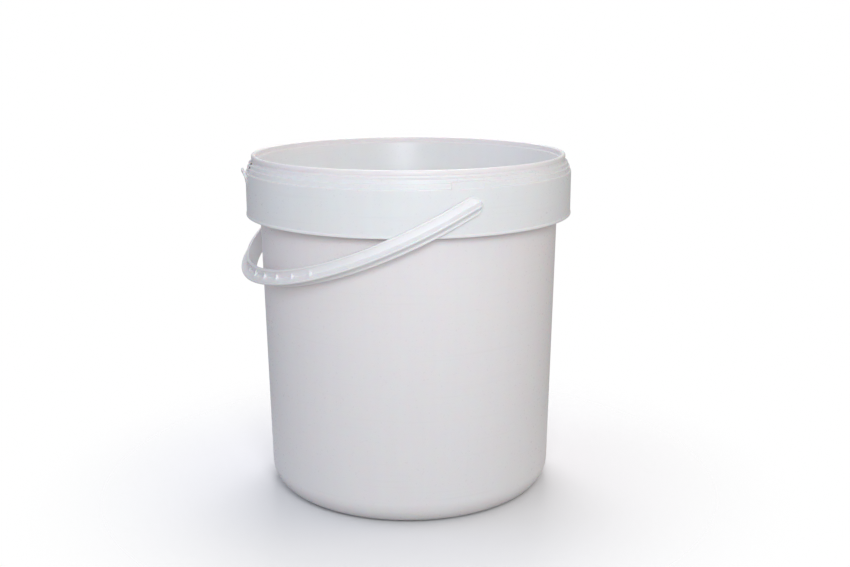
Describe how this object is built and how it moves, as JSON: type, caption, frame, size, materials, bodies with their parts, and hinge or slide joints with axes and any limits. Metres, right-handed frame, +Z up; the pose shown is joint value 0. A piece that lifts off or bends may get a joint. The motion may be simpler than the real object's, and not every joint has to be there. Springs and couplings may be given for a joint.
{
  "type": "florist bucket",
  "caption": "Round white plastic bucket with a tapered body, a deep collar under the rim, stepped lid seat and a moulded bail handle that hangs to one side.",
  "frame": {"origin": "centre of the ring on the underside that the bucket stands on", "axes": "+Z up along the bucket's axis; X along the bail's pivot axis; -Y towards the side on which the bail hangs"},
  "size_m": [0.3092, 0.2915, 0.3],
  "materials": {
    "pail_moulding": "satin white injection-moulded polypropylene",
    "bail_moulding": "satin white injection-moulded polypropylene"
  },
  "bodies": {
    "pail": {"pail": "pail_moulding"},
    "bail": {"bail_handle": "bail_moulding"}
  },
  "joints": [
    {"name": "bail_swing", "type": "hinge", "parent": "pail", "child": "bail", "pos_m": [0, 0, 0.2719], "axis": [-1, 0, 0], "range_deg": [0, 232.8]}
  ]
}
